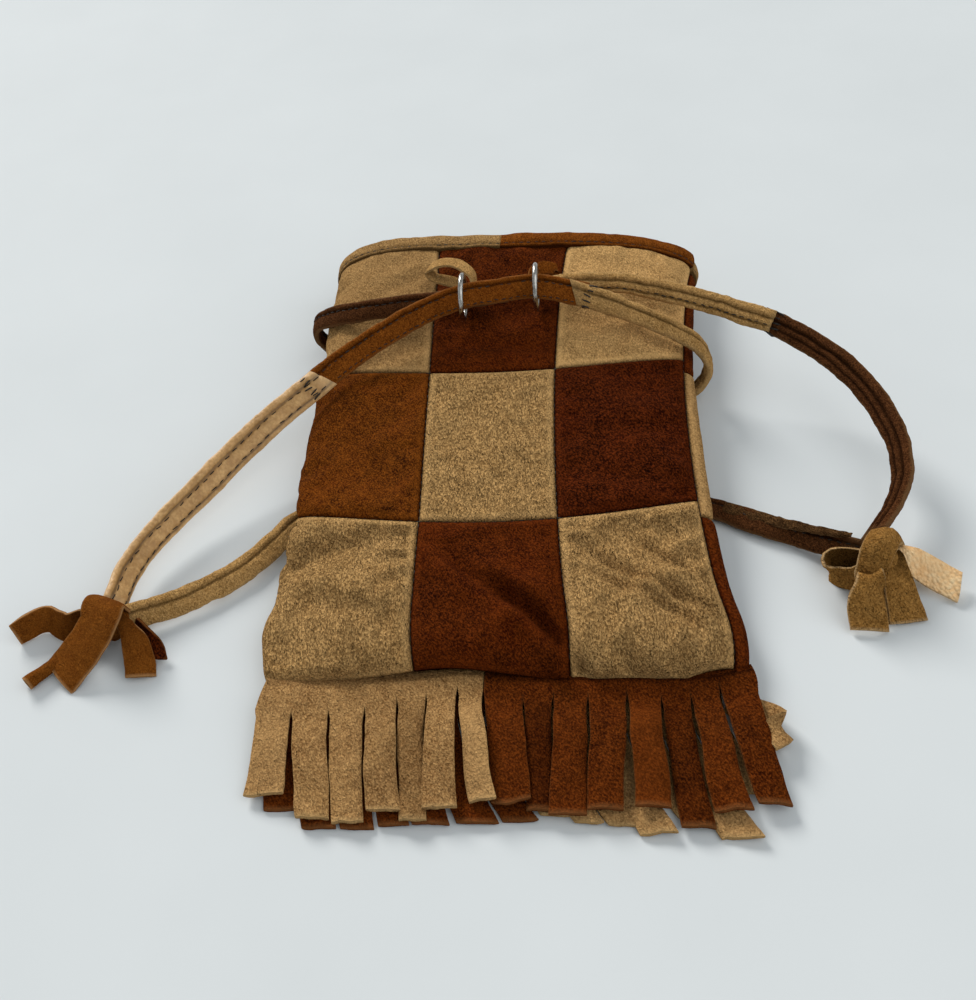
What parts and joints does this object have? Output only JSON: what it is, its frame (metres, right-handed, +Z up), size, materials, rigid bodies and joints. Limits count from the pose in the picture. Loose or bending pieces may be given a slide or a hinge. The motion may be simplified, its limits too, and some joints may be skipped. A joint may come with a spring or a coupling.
{
  "type": "drawstring pouch",
  "caption": "Patchwork suede drawstring pouch with a bound mouth, cut fringe, metal rings and two pieced straps ending in tied knots.",
  "frame": {"origin": "centre of the pouch's footprint, at the surface it lies on", "axes": "+Z up out of the front panel, +Y from the fringe to the mouth, +X to the pouch's right as seen from the fringe"},
  "size_m": [0.2312, 0.1823, 0.036],
  "materials": {
    "tan_suede": "brushed nap suede",
    "brown_suede": "brushed nap suede",
    "dark_brown_suede": "worn nap suede",
    "olive_suede": "brushed nap suede",
    "smooth_tan": "satin grain side",
    "nickel": "polished, lightly worn"
  },
  "bodies": {
    "pouch": {"front_bottom_left_patch": "tan_suede", "front_bottom_centre_patch": "brown_suede", "front_bottom_right_patch": "tan_suede", "front_middle_left_patch": "brown_suede", "front_middle_centre_patch": "tan_suede", "front_middle_right_patch": "brown_suede", "front_top_left_patch": "tan_suede", "front_top_centre_patch": "brown_suede", "front_top_right_patch": "tan_suede", "back_bottom_left_patch": "brown_suede", "back_bottom_centre_patch": "tan_suede", "back_bottom_right_patch": "brown_suede", "back_middle_left_patch": "tan_suede", "back_middle_centre_patch": "brown_suede", "back_middle_right_patch": "tan_suede", "back_top_left_patch": "brown_suede", "back_top_centre_patch": "tan_suede", "back_top_right_patch": "brown_suede", "front_left_mouth_binding": "tan_suede", "front_right_mouth_binding": "brown_suede", "back_left_mouth_binding": "brown_suede", "back_right_mouth_binding": "tan_suede", "front_left_fringe": "tan_suede", "front_right_fringe": "brown_suede", "back_left_fringe": "brown_suede", "back_right_fringe": "tan_suede", "left_ring_tab": "tan_suede", "right_ring_tab": "brown_suede", "left_smooth_strap": "smooth_tan", "left_brown_strap": "brown_suede", "left_tan_strap": "tan_suede", "right_dark_strap": "dark_brown_suede", "right_tan_strap": "tan_suede", "right_brown_strap": "brown_suede"},
    "left_ring": {"left_ring": "nickel"},
    "right_ring": {"right_ring": "nickel"},
    "left_pull": {"left_knot": "brown_suede", "left_wavy_tail": "brown_suede", "left_rolled_tail": "brown_suede", "left_broad_tail": "brown_suede", "left_folded_tail": "brown_suede", "left_short_tail": "brown_suede"},
    "right_pull": {"right_knot": "olive_suede", "right_front_tail": "olive_suede", "right_middle_tail": "olive_suede", "right_smooth_tail": "smooth_tan", "right_curled_tail": "dark_brown_suede"}
  },
  "joints": [
    {"name": "left_ring_swing", "type": "hinge", "parent": "pouch", "child": "left_ring", "pos_m": [-0.0145, 0.05824, 0.02456], "axis": [0, 0.7071, 0.7071], "range_deg": [-15, 15]},
    {"name": "right_ring_swing", "type": "hinge", "parent": "pouch", "child": "right_ring", "pos_m": [0.0055, 0.06124, 0.02496], "axis": [0, 0.7071, 0.7071], "range_deg": [-15, 15]},
    {"name": "left_pull_out", "type": "slide", "parent": "pouch", "child": "left_pull", "axis": [-0.8, -0.6, 0], "range_m": [0, 0.03]},
    {"name": "right_pull_out", "type": "slide", "parent": "pouch", "child": "right_pull", "axis": [0.8, -0.6, 0], "range_m": [0, 0.03]}
  ]
}
